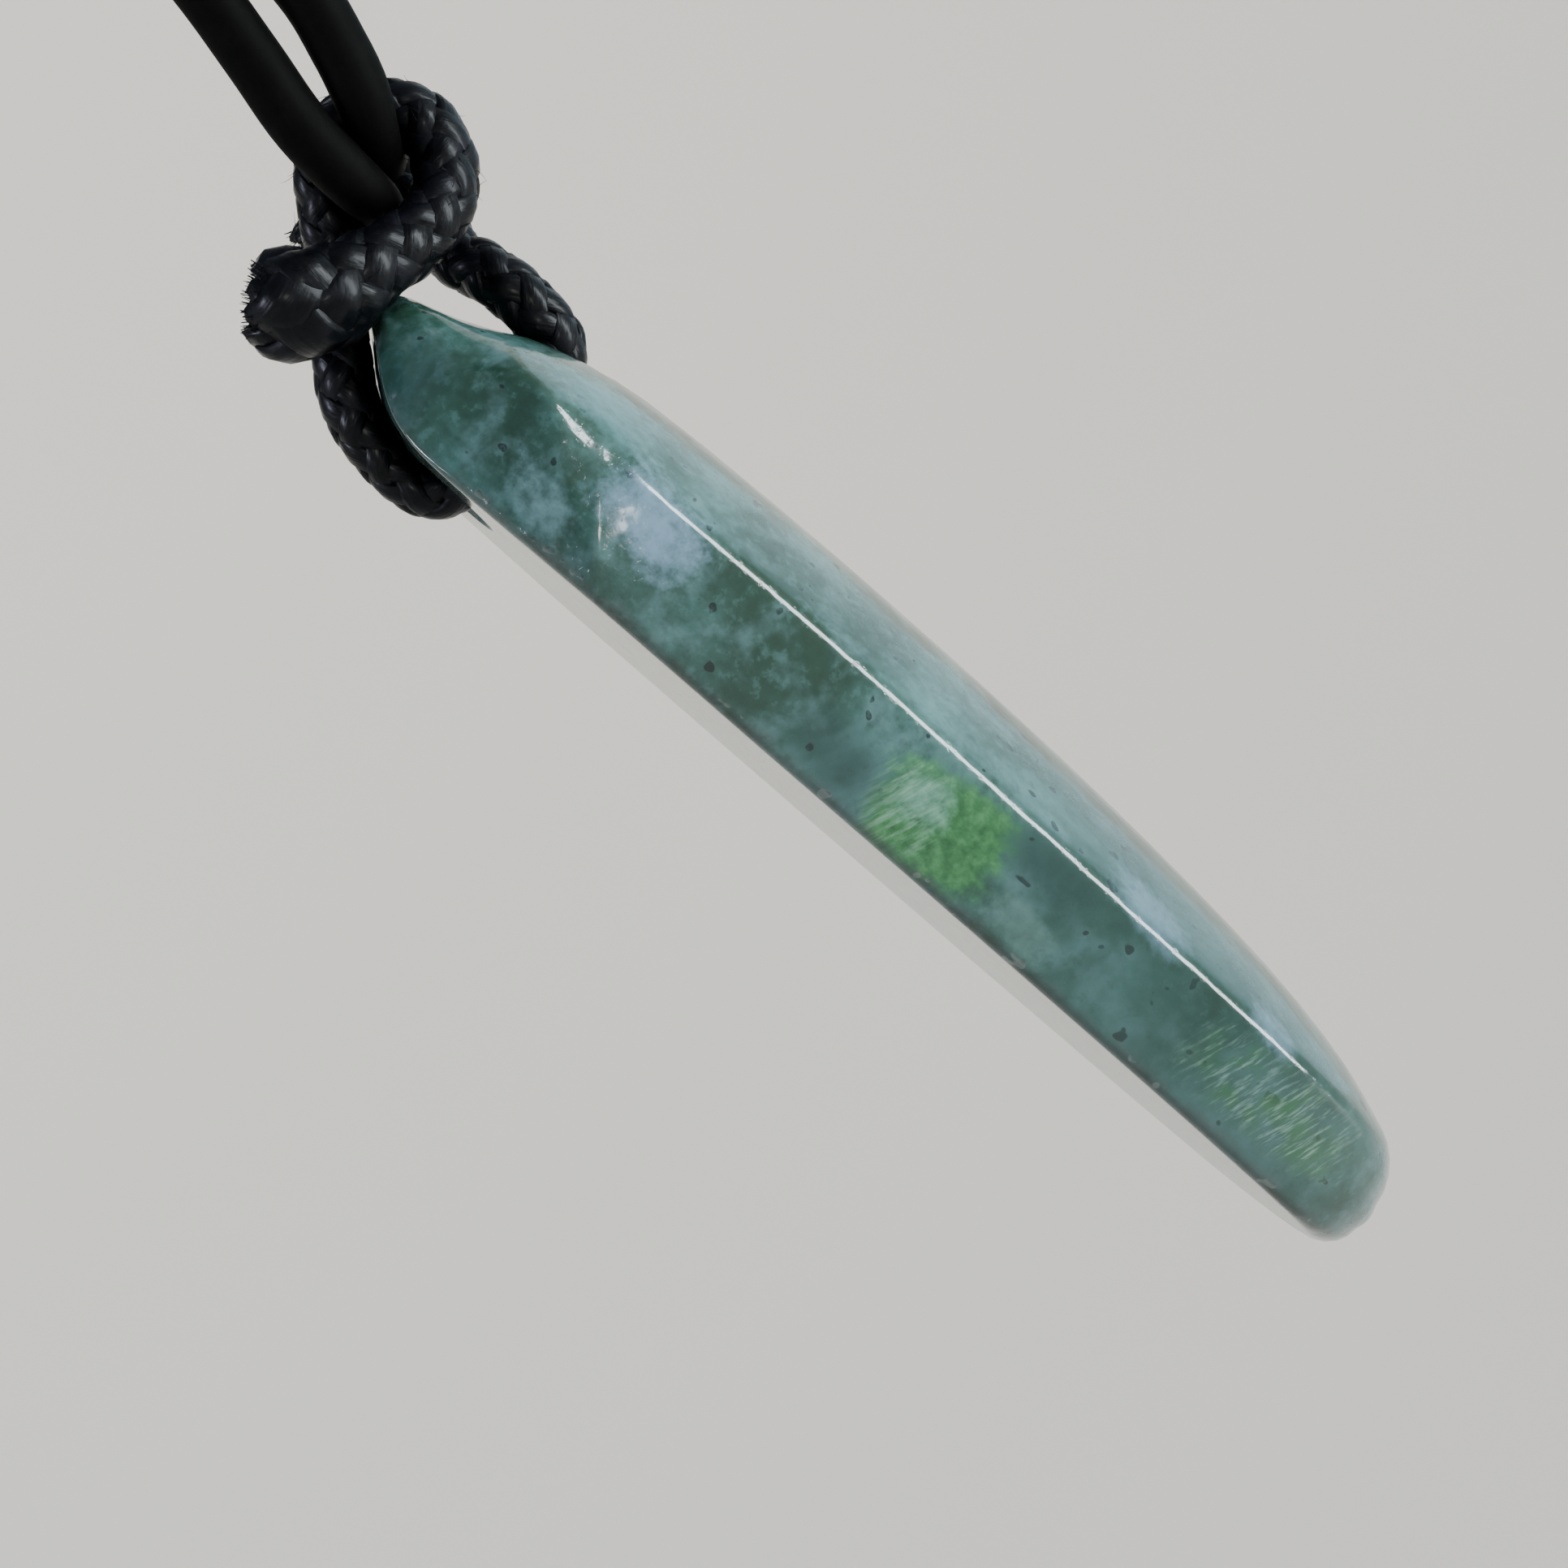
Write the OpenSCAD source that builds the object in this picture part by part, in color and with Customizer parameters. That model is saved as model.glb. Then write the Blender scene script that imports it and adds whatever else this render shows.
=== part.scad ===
// Jade pendant on a knotted bail of braided cord, hung on a smooth round neck cord.
// Millimetres. +Z is up, -Y is the side that shows when the necklace is worn.
// The origin is the underside of the clasp, where the necklace lies on the nape.

/* [Jade pendant] */
// Height of the pendant from its tip to its top end
pendant_height = 46.4; // [42:0.1:52]
// Greatest width of the pendant
pendant_width = 16; // [14:0.5:20]
// Greatest thickness, from the flat back to the crown of the domed front
pendant_depth = 7; // [6:0.1:8]
// Radius of the dome across the front
dome_radius = 11; // [10:0.1:16]
// Distance from the tip up to the middle of the drilled hole
hole_height = 40.5; // [40:0.1:41]
// Diameter of the drilled hole
hole_d = 2.4; // [2.3:0.05:2.6]
// Rounding along the front edge
front_round = 0.55; // [0.3:0.05:0.8]
// Rounding along the back edge
back_round = 0.4; // [0.2:0.05:0.6]

/* [Cords] */
// Diameter of the braided cord that makes the bail
braid_d = 2.05; // [1.7:0.05:2.05]
// Diameter of the smooth neck cord
cord_d = 2; // [1.5:0.05:2]

/* [Clasp] */
// Length of the barrel clasp
clasp_length = 13; // [11:0.5:14]
// Diameter of the barrel clasp
clasp_d = 4.4; // [3.6:0.1:5]

/* [Placing] */
// How far the drilled hole hangs below the clasp's underside
hang_drop = 133; // [125:1:140]
// How far the drilled hole lies in front of the clasp
hang_front = 105; // [100:1:110]

/* [Hidden] */

// The back of the pendant at the drilled hole, from which the hanging pieces are measured
hang = [0, -hang_front, -hang_drop];
cord_sides = 8;
cord_steps = 2;
round_sides = 48;
gap = 0.1;
clasp_z = clasp_d / 2;
clasp_edge = 0.5;

// Share of the pendant's height, share of its half width: one side of the outline from tip to top end
outline_rows = [
  [0, 0], [0.016, 0.33], [0.055, 0.6], [0.125, 0.79], [0.24, 0.93], [0.4, 1], [0.6, 1],
  [0.74, 0.99], [0.79, 0.965], [0.85, 0.835], [0.915, 0.65], [0.945, 0.53], [0.975, 0.36],
  [0.993, 0.18], [1, 0]
];
// Share of the height, share of the greatest depth: crown of the domed front
crown_rows = [
  [0, 0.56], [0.05, 0.68], [0.1, 0.79], [0.18, 0.885], [0.28, 0.945], [0.42, 0.99], [0.6, 1],
  [0.7, 0.985], [0.78, 0.95], [0.85, 0.88], [0.9, 0.79], [0.935, 0.69], [0.97, 0.61], [1, 0.55]
];
// Share of the height, share of the greatest depth: how far the back slopes forward at the top end
back_rows = [
  [0, 0], [0.895, 0], [0.912, 0.01], [0.93, 0.038], [0.948, 0.1], [0.97, 0.215], [0.99, 0.345], [1, 0.415]
];
// How much of the outline each inner loop of the front and of the back keeps
front_loops = [0.95, 0.86, 0.75, 0.62, 0.48, 0.33, 0.16];
back_loops = [0.95, 0.9, 0.86, 0.82];
round_steps = 3;
outline_steps = 3;
side_bulge = 0.12;
// Largest share of the edge's thickness that one rounding may take
most_round = 0.47;
// Extra rounding of the front edge and of the back edge at the very tip
tip_front_extra = 1.3;
tip_back_extra = 1;
tip_zone = 3.4;
// Chamfer at the back mouth of the hole, and depth and flare of the front mouth
hole_overrun = 2;
back_mouth = 0.7;
front_mouth_from = 4.2;
front_mouth_length = 3;
front_mouth_flare = 1.5;

// Braided cord from its cut end in front, round the ring, down behind the pendant, through the
// hole and up the front to its other end behind the ring: x, y, z from the hole, diameter share
bail_rows = [
  [-2.95, -0.55, 8.7, 1.3], [-2.95, -1.15, 7.9, 1.86], [-2.85, -2.15, 7.2, 1.66], [-2.6, -3.7, 6.83, 1.29],
  [-1.9, -5.4, 6.4, 1.15], [-1.3, -6.9, 6.45, 1.1], [-0.7, -8.1, 7.25, 1.1], [-0.3, -8.7, 8.55, 1.08],
  [0, -8.4, 9.85, 1], [0.25, -7.15, 10.75, 0.95], [0.45, -5.6, 10.4, 0.95], [0.65, -4.4, 9.2, 0.95],
  [0.8, -3.3, 7.8, 1], [0.6, -2, 6.7, 1], [0.35, -0.95, 5.7, 1], [0.2, -0.17, 4.8, 1],
  [0.1, 0.52, 3.65, 0.95], [0, 0.94, 1.8, 0.81], [0, 0.45, 0.5, 0.86], [0, -0.75, 0, 0.98],
  [0, -2.8, 0, 1], [0, -4.8, 0, 1], [0, -6.05, 0.5, 1], [0, -6.45, 1.65, 1],
  [0.2, -6.55, 2.75, 1], [0.8, -6.5, 3.95, 1], [1.65, -6.3, 5.05, 1], [2.35, -6.7, 6.25, 1],
  [2.85, -6.7, 7.55, 1], [2.95, -5.85, 8.5, 1], [2.95, -4.75, 9, 1], [2.95, -3.6, 8.85, 1]
];
// Neck cord inside and above the knot, from the right hand strand, round the bail's hidden
// pass, to the left hand strand: x, y, z from the hole, share of the full diameter
knot_rows = [
  [5, -8.4, 32, 1], [0.8, -9.5, 24, 1], [-1.6, -9.6, 18.5, 1], [-2.3, -9.2, 14.5, 1],
  [-2.25, -8.5, 12.2, 1], [-2.15, -7.9, 10.8, 0.96], [-1.6, -7.3, 9.75, 0.7], [-0.5, -6.95, 9.1, 0.56],
  [0.6, -7.05, 9, 0.56], [1.7, -7.6, 9.3, 0.58], [2.95, -8.15, 9.3, 0.66], [4.1, -7.7, 9, 0.66],
  [4.85, -6.5, 8.1, 0.58], [4.2, -5.4, 7.15, 0.58], [2.95, -4.85, 6.85, 0.58], [1.7, -5.2, 7.3, 0.58],
  [0.6, -5.65, 7.85, 0.56], [-0.55, -5.7, 8.1, 0.6], [-1.5, -5.6, 8.7, 0.82], [-2, -5.6, 10, 0.96],
  [-2.2, -5.8, 11.8, 1], [-2.35, -6.4, 14.2, 1], [-2.6, -7.1, 17.5, 1], [-4, -7.7, 23, 1],
  [-7.5, -7.2, 32, 1]
];
// One side of the neck loop, from above the knot round to the nape: x, y, z from the hole
loop_rows = [
  [13.5, -4.5, 44], [22, 1.5, 57], [33.5, 11.5, 72], [45, 24, 87], [54.5, 39.5, 101],
  [59.5, 56.5, 113], [59, 73, 123.5], [52.5, 88, 130.5], [40, 98.5, 134], [24, 104, 135.2]
];

function unit(v) = v / norm(v);
function last(list) = list[len(list) - 1];
function backwards(list) = [for (i = [len(list) - 1:-1:0]) list[i]];

// A smooth curve through four neighbours, between the two in the middle
function between(a, b, c, d, t) =
  0.5 * (2 * b + (c - a) * t + (2 * a - 5 * b + 4 * c - d) * t * t + (3 * b - a - 3 * c + d) * t * t * t);
function smooth_line(rows, steps) = [
  for (i = [0:len(rows) - 2], k = [0:steps - 1])
    between(rows[max(i - 1, 0)], rows[i], rows[i + 1], rows[min(i + 2, len(rows) - 1)], k / steps),
  last(rows)
];

// Value of a smooth table at a share of the height
function row_below(rows, s, i = 0) =
  i < len(rows) - 2 && rows[i + 1][0] < s ? row_below(rows, s, i + 1) : i;
function smooth_table(rows, s) =
  let (i = row_below(rows, s), a = rows[i], b = rows[i + 1])
  let (p = rows[max(i - 1, 0)], q = rows[min(i + 2, len(rows) - 1)])
  let (w = b[0] - a[0], t = min(max((s - a[0]) / w, 0), 1))
  let (slope_a = i == 0 ? (b[1] - a[1]) / w : (b[1] - p[1]) / (b[0] - p[0]))
  let (slope_b = i == len(rows) - 2 ? (b[1] - a[1]) / w : (q[1] - a[1]) / (q[0] - a[0]))
  a[1] * (2 * t * t * t - 3 * t * t + 1) + b[1] * (3 * t * t - 2 * t * t * t)
  + w * slope_a * (t * t * t - 2 * t * t + t) + w * slope_b * (t * t * t - t * t);

// Tube of changing radius along rows of x, y, z, radius
function middle(rows, i) = [rows[i][0], rows[i][1], rows[i][2]];
function heading(rows, i) = unit(middle(rows, min(i + 1, len(rows) - 1)) - middle(rows, max(i - 1, 0)));
function square_to(v, t) = unit(v - (v * t) * t);
function side_vectors(rows) = [
  for (i = 0, n = square_to([0.3, 0.2, 1], heading(rows, 0)); i < len(rows);
       i = i + 1, n = i < len(rows) ? square_to(n, heading(rows, i)) : n) n
];
module tube(rows) {
  sides = side_vectors(rows);
  points = [
    for (i = [0:len(rows) - 1], k = [0:cord_sides - 1])
      let (n = sides[i], m = cross(heading(rows, i), n), a = 360 * k / cord_sides)
      middle(rows, i) + rows[i][3] * (cos(a) * n + sin(a) * m)
  ];
  walls = [
    for (i = [0:len(rows) - 2], k = [0:cord_sides - 1])
      let (a = i * cord_sides + k, b = i * cord_sides + (k + 1) % cord_sides)
      each [[a, a + cord_sides, b + cord_sides], [a, b + cord_sides, b]]
  ];
  start = [for (k = [0:cord_sides - 1]) k];
  end = [for (k = [cord_sides - 1:-1:0]) (len(rows) - 1) * cord_sides + k];
  polyhedron(points = points, faces = concat(walls, [start, end]), convexity = 10);
}
function thick(rows, d) = [for (r = rows) [r[0], r[1], r[2], r[3] * d / 2]];

// Outline of the pendant as one closed loop of x, z from the tip, and its inward direction
half_outline = [for (r = outline_rows) [r[1] * pendant_width / 2, r[0] * pendant_height]];
outline_ring = concat(
  half_outline,
  [for (i = [len(half_outline) - 2:-1:1]) [-half_outline[i][0], half_outline[i][1]]]
);
function ring_at(i) = outline_ring[(i + len(outline_ring)) % len(outline_ring)];
outline = [
  for (i = [0:len(outline_ring) - 1], k = [0:outline_steps - 1])
    between(ring_at(i - 1), ring_at(i), ring_at(i + 1), ring_at(i + 2), k / outline_steps)
];
count = len(outline);
function inward(i) =
  let (d = unit(outline[(i + 1) % count] - outline[(i + count - 1) % count])) [-d[1], d[0]];
outline_middle = [0, pendant_height * 0.5];

// Depth of the front and of the back at a place x, z
function share(z) = min(max(z / pendant_height, 0), 1);
function front_depth(p) =
  pendant_depth * smooth_table(crown_rows, share(p[1])) - p[0] * p[0] / (2 * dome_radius);
function back_depth(p) = pendant_depth * smooth_table(back_rows, share(p[1]));
function tip_share(p) = max(0, 1 - p[1] / tip_zone);
function room(p) = most_round * (front_depth(p) - back_depth(p));
function front_radius(p) = min(front_round + tip_front_extra * tip_share(p), room(p));
function back_radius(p) = min(back_round + tip_back_extra * tip_share(p), room(p));

// One loop of points: rounding angle 0 is on the face, 90 is on the side wall
function back_edge(a) = [
  for (i = [0:count - 1])
    let (r = back_radius(outline[i]), p = outline[i] + r * (1 - sin(a)) * inward(i))
    [p[0], -back_depth(p) - r * (1 - cos(a)), p[1]]
];
function front_edge(a) = [
  for (i = [0:count - 1])
    let (r = front_radius(outline[i]), p = outline[i] + r * (1 - sin(a)) * inward(i))
    [p[0], -front_depth(p) + r * (1 - cos(a)), p[1]]
];
function side_middle() = [
  for (i = [0:count - 1])
    let (o = outline[i], p = o - side_bulge * inward(i))
    let (y0 = -back_depth(o) - back_radius(o), y1 = -front_depth(o) + front_radius(o))
    [p[0], (y0 + y1) / 2, p[1]]
];
function shrunk(i, r, keep) =
  let (p = outline[i] + r * inward(i)) outline_middle + keep * (p - outline_middle);
function back_loop(keep) = [
  for (i = [0:count - 1]) let (p = shrunk(i, back_radius(outline[i]), keep)) [p[0], -back_depth(p), p[1]]
];
function front_loop(keep) = [
  for (i = [0:count - 1]) let (p = shrunk(i, front_radius(outline[i]), keep)) [p[0], -front_depth(p), p[1]]
];

module pendant_body() {
  loops = concat(
    [for (keep = backwards(back_loops)) back_loop(keep)],
    [for (k = [0:round_steps]) back_edge(90 * k / round_steps)],
    [side_middle()],
    [for (k = [0:round_steps]) front_edge(90 - 90 * k / round_steps)],
    [for (keep = front_loops) front_loop(keep)]
  );
  rows = len(loops);
  back_pole = [outline_middle[0], -back_depth(outline_middle), outline_middle[1]];
  front_pole = [outline_middle[0], -front_depth(outline_middle), outline_middle[1]];
  points = concat([for (loop = loops) each loop], [back_pole, front_pole]);
  walls = [
    for (j = [0:rows - 2], i = [0:count - 1])
      let (a = j * count + i, b = j * count + (i + 1) % count)
      each [[a, b, b + count], [a, b + count, a + count]]
  ];
  back_fan = [for (i = [0:count - 1]) [rows * count, (i + 1) % count, i]];
  front_fan = [
    for (i = [0:count - 1]) [rows * count + 1, (rows - 1) * count + i, (rows - 1) * count + (i + 1) % count]
  ];
  polyhedron(points = points, faces = concat(walls, back_fan, front_fan), convexity = 6);
}

// Drilled hole along Y with a chamfer at the back and a flared mouth at the front
module drilled_hole() {
  r = hole_d / 2;
  past = back_mouth + hole_overrun;
  rotate([90, 0, 0]) {
    translate([0, 0, -hole_overrun])
      cylinder(r = r, h = pendant_depth + 2 * hole_overrun, $fn = round_sides);
    translate([0, 0, -hole_overrun]) cylinder(r1 = r + past, r2 = r, h = past, $fn = round_sides);
    translate([0, 0, front_mouth_from])
      cylinder(r1 = r, r2 = r + front_mouth_flare, h = front_mouth_length, $fn = round_sides);
  }
}

// Polished jade: flat back, domed front, soft shoulder below a tapered top end
module jade_pendant() {
  color("#6b8f8a") translate(hang) difference() {
    translate([0, 0, -hole_height]) pendant_body();
    drilled_hole();
  }
}

// Short length of braided cord knotted into a ring above the pendant
module braided_bail() {
  color("#1b1b22") translate(hang) tube(smooth_line(thick(bail_rows, braid_d), cord_steps));
}

// Whole neck cord, from one end of the clasp round through the knot to the other
module neck_cord() {
  side = [for (r = loop_rows) [r[0], r[1], r[2], 1]];
  nape = [clasp_length / 2 + gap, hang_front, hang_drop + clasp_z, 1];
  right = concat([nape], backwards(side));
  left = [for (r = backwards(right)) [-r[0], r[1], r[2], r[3]]];
  whole = concat(right, knot_rows, left);
  color("#201c1b") translate(hang) tube(smooth_line(thick(whole, cord_d), cord_steps));
}

// Plain barrel that joins the two ends of the neck cord
module barrel_clasp() {
  r = clasp_d / 2;
  l = clasp_length / 2;
  e = clasp_edge;
  color("#b9bcc0") translate([0, 0, clasp_z]) rotate([0, 90, 0])
    rotate_extrude($fn = round_sides)
      polygon([[0, -l], [r - e, -l], [r, e - l], [r, l - e], [r - e, l], [0, l]]);
}

jade_pendant();
braided_bail();
neck_cord();
barrel_clasp();
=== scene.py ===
# %% [markdown]
# # A jade pendant on a knotted cord
# The necklace has four pieces: a polished jade stone, a short braided cord that is knotted into a
# bail, a smooth cord for the neck and a small barrel clasp. The solids of the part are already in
# place, in metres. Each one is replaced here by a finer piece that fills the same space.

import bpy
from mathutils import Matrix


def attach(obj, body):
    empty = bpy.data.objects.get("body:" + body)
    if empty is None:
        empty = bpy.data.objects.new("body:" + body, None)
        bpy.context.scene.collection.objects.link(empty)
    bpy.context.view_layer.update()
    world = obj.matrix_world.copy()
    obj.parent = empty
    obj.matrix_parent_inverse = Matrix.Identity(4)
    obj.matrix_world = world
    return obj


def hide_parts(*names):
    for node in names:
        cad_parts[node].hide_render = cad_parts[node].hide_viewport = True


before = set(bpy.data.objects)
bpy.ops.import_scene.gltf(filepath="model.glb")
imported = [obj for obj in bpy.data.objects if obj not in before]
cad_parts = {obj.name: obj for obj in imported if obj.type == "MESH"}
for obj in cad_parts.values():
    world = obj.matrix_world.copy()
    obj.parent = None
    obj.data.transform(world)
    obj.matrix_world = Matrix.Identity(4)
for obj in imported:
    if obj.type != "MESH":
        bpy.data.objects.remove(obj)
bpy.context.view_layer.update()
print("solids:", sorted(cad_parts))

# %% [markdown]
# Blender measures in metres and a jeweller in millimetres. All places below are in millimetres
# from the middle of the drilled hole on the stone's flat back, and one function turns them into
# Blender's metres. The random numbers come from one seed, so each run gives the same piece.

# %% Units, colours and random numbers
import math
import random

import bmesh
import bpy
from mathutils import Matrix, Vector

MM = 0.001
HOLE = Vector((0, -105, -133))
SEED = 41
dice = random.Random(SEED)


def place(x, y, z):
    """A place in millimetres from the drilled hole, as Blender's metres."""
    return (HOLE + Vector((x, y, z))) * MM


def linear(colour, alpha=1.0):
    """An sRGB hex colour as the linear numbers that Blender's sockets take."""
    parts = [int(colour[i:i + 2], 16) / 255 for i in (1, 3, 5)]
    return [c / 12.92 if c <= 0.04045 else ((c + 0.055) / 1.055) ** 2.4 for c in parts] + [alpha]


# %% [markdown]
# The camera looks at the stone's edge, as in the photograph: almost along +X and a little from
# above, and turned so that the stone, which hangs upright, lies across the picture. The turn is
# built from three directions, right, up and back, which are the columns of the camera's matrix.

# %% Camera
LOOK_AT = (0, 0, -15)
DISTANCE = 120
ELEVATION = math.radians(8)
YAW = math.radians(2.8)
LEAN = math.radians(41)
PIXELS_PER_MM = 36
FRAME_PIXELS = 1932
SENSOR = 36

back = Vector((
    -math.cos(ELEVATION) * math.cos(YAW), math.cos(ELEVATION) * math.sin(YAW), math.sin(ELEVATION)
))
upward = (Vector((0, 0, 1)) - back * back.z).normalized()
sideways = upward.cross(back).normalized()
right = -math.cos(LEAN) * upward + math.sin(LEAN) * sideways
up = math.sin(LEAN) * upward + math.cos(LEAN) * sideways


def new_object(name, data):
    """An object that is in the scene."""
    made = bpy.data.objects.new(name, data)
    bpy.context.scene.collection.objects.link(made)
    return made


camera = new_object("camera", bpy.data.cameras.new("camera"))
camera.matrix_world = Matrix.Translation(place(*LOOK_AT) + back * DISTANCE * MM) @ Matrix(
    (right, up, back)
).transposed().to_4x4()
camera.data.sensor_width = SENSOR
camera.data.lens = SENSOR * PIXELS_PER_MM * DISTANCE / FRAME_PIXELS
camera.data.clip_start = MM
bpy.context.scene.camera = camera
print("lens", round(camera.data.lens, 1), "mm")

# %% [markdown]
# Every piece is finished the same way: its mesh is closed, its faces point outwards and it is
# shaded smooth, and its object stays at the origin so that patterns on Object coordinates stay
# put. The piece then rides on a body of the part and stands for one of its solids.


# %% Helpers for pieces
def object_of(name, bm, material=None):
    """Turns a bmesh into a smoothly shaded object."""
    mesh = bpy.data.meshes.new(name)
    bm.to_mesh(mesh)
    bm.free()
    if material:
        mesh.materials.append(material)
    mesh.shade_smooth()
    return new_object(name, mesh)


def finish_piece(name, bm, body, material, stands_for, sharp=None):
    """Makes a piece of a bmesh. Edges that bend more than sharp degrees stay crisp."""
    bmesh.ops.recalc_face_normals(bm, faces=bm.faces)
    piece = object_of(name, bm, material)
    if sharp:
        piece.data.set_sharp_from_angle(angle=math.radians(sharp))
    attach(piece, body)
    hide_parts(stands_for)
    print(name, len(piece.data.polygons), "faces")
    return piece


def curve_through(rows, steps):
    """A smooth line through rows of numbers, with steps points for each row."""
    last = len(rows) - 1
    line = []
    for i in range(last):
        a, b, c, d = (rows[min(max(k, 0), last)] for k in (i - 1, i, i + 1, i + 2))
        for step in range(steps):
            t = step / steps
            line.append([
                0.5 * (2 * q + (r - p) * t + (2 * p - 5 * q + 4 * r - s) * t * t
                       + (3 * q - p - 3 * r + s) * t ** 3)
                for p, q, r, s in zip(a, b, c, d)
            ])
    return line + [list(rows[-1])]


# %% [markdown]
# A material is a small graph of nodes. One function adds a node, sets it up and links its inputs,
# so that each pattern below reads as a short list of steps.


# %% Helper for material nodes
def add(tree, kind, inputs=None, stops=None, **settings):
    """Adds a node. inputs names sockets, each with a value or with the socket it is linked to."""
    made = tree.nodes.new(kind)
    for key, value in settings.items():
        setattr(made, key, value)
    for key, value in (inputs or {}).items():
        if isinstance(value, bpy.types.NodeSocket):
            tree.links.new(value, made.inputs[key])
        else:
            made.inputs[key].default_value = value
    if stops:
        ramp = made.color_ramp
        while len(ramp.elements) < len(stops):
            ramp.elements.new(1)
        for element, (where, colour) in zip(ramp.elements, stops):
            element.position = where
            element.color = linear(colour)
    return made


def new_material(name, **sockets):
    """A material, its node tree and its shader, with constants set on the shader's own sockets."""
    material = bpy.data.materials.new(name)
    material.use_nodes = True
    shader = material.node_tree.nodes["Principled BSDF"]
    for key, value in sockets.items():
        shader.inputs[key.replace("_", " ")].default_value = value
    return material, material.node_tree, shader


# A Mix node has sockets for each kind of data. These are the numbers of its colour sockets.
MIX_A, MIX_B, MIX_OUT = 6, 7, 2

# %% [markdown]
# ## The jade
# Jadeite is a mass of tiny interlocked grains. Light goes a little way in and comes out again, so
# it looks cloudy and deep, and its hard surface takes a very high polish. This stone is a greyed
# blue green with paler clouds, one patch of apple green on its edge, and a second, fainter green
# zone near the tip. The clouds are noise in three sizes, read from Object coordinates, so that they
# run through the stone as they do in the real one.

# %% Polished jadeite: base and clouds
JADE_DARK = "#284438"
JADE_MID = "#3b5d56"
JADE_PALE = "#567d7a"
CLOUD_WHITE = "#6d8f92"
jade, tree, shader = new_material(
    "polished_jadeite", Roughness=0.11, IOR=1.66, Subsurface_Weight=0.25, Subsurface_Scale=0.6 * MM,
)
shader.inputs["Subsurface Radius"].default_value = (0.8, 1.0, 0.9)
object_place = add(tree, "ShaderNodeTexCoord").outputs["Object"]
# From here on the numbers are millimetres from the drilled hole.
millimetres = add(
    tree, "ShaderNodeMapping", {"Vector": object_place, "Scale": (1 / MM,) * 3, "Location": -HOLE}
).outputs["Vector"]
# A noise of scale 1 has lumps about 1 mm wide here: 5 mm for the drift, 1.3 mm for the clouds.
drift = add(
    tree, "ShaderNodeTexNoise",
    {"Vector": millimetres, "Scale": 0.2, "Detail": 4, "Roughness": 0.6, "Distortion": 0.4},
).outputs["Fac"]
body_colour = add(
    tree, "ShaderNodeValToRGB", {"Fac": drift},
    stops=[(0.36, JADE_DARK), (0.52, JADE_MID), (0.68, JADE_PALE)],
).outputs["Color"]
cloud = add(
    tree, "ShaderNodeTexNoise",
    {"Vector": millimetres, "Scale": 0.75, "Detail": 4, "Roughness": 0.5, "Distortion": 0.3},
).outputs["Fac"]
cloud_mask = add(
    tree, "ShaderNodeMapRange", {"Value": cloud, "From Min": 0.46, "From Max": 0.78, "To Max": 0.42},
    interpolation_type="SMOOTHSTEP",
).outputs["Result"]
cloudy = add(
    tree, "ShaderNodeMix", {"Factor": cloud_mask, MIX_A: body_colour, MIX_B: linear(CLOUD_WHITE)},
    data_type="RGBA",
).outputs[MIX_OUT]

# %% [markdown]
# Close to, the stone is grainy: grains of about half a millimetre are a little darker or lighter
# than their neighbours, and here and there a dark speck lies just under the polish.

# %% Polished jadeite: grains and specks
grain = add(
    tree, "ShaderNodeTexNoise", {"Vector": millimetres, "Scale": 2.2, "Detail": 3, "Roughness": 0.6}
).outputs["Fac"]
grain_mask = add(
    tree, "ShaderNodeMapRange", {"Value": grain, "From Min": 0.5, "From Max": 0.7, "To Max": 0.45}
).outputs["Result"]
grainy = add(
    tree, "ShaderNodeMix", {"Factor": grain_mask, MIX_A: cloudy, MIX_B: linear("#23392f")},
    data_type="RGBA",
).outputs[MIX_OUT]
speck = add(
    tree, "ShaderNodeTexNoise", {"Vector": millimetres, "Scale": 1.5, "Detail": 1, "Roughness": 0.4}
).outputs["Fac"]
speck_mask = add(
    tree, "ShaderNodeMapRange", {"Value": speck, "From Min": 0.71, "From Max": 0.735, "To Max": 0.8}
).outputs["Result"]
specked = add(
    tree, "ShaderNodeMix", {"Factor": speck_mask, MIX_A: grainy, MIX_B: linear("#131d1c")},
    data_type="RGBA",
).outputs[MIX_OUT]
pale_grain = add(
    tree, "ShaderNodeMapRange", {"Value": grain, "From Min": 0.46, "From Max": 0.3, "To Max": 0.3}
).outputs["Result"]
mottled = add(
    tree, "ShaderNodeMix", {"Factor": pale_grain, MIX_A: specked, MIX_B: linear("#5f8784")},
    data_type="RGBA",
).outputs[MIX_OUT]

# %% [markdown]
# Each coloured zone is a soft box. A Mapping node of the Texture kind moves, turns and divides the
# place by the zone's own middle, turn and half size, so the box's wall is where the result is 1.
# Squaring before taking the length squares off the ellipsoid. Noise makes the wall ragged.


# %% Polished jadeite: a soft, ragged zone
def zone(middle, half_size, turn=0.0, ragged=0.5, edge=0.4):
    """A mask that is 1 inside a ragged box, in millimetres, and fades over edge."""
    local = add(
        tree, "ShaderNodeMapping",
        {"Vector": millimetres, "Location": middle, "Rotation": (turn, 0, 0), "Scale": half_size},
        vector_type="TEXTURE",
    ).outputs["Vector"]
    squared = add(
        tree, "ShaderNodeVectorMath", {0: local, 1: local}, operation="MULTIPLY"
    ).outputs["Vector"]
    far = add(tree, "ShaderNodeVectorMath", {0: squared}, operation="LENGTH").outputs["Value"]
    rough = add(
        tree, "ShaderNodeMath", {0: grain, 1: ragged, 2: far}, operation="MULTIPLY_ADD"
    ).outputs["Value"]
    wall = 1 + ragged / 2
    return add(
        tree, "ShaderNodeMapRange", {"Value": rough, "From Min": wall, "From Max": wall - edge},
        interpolation_type="SMOOTHSTEP",
    ).outputs["Result"]


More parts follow.
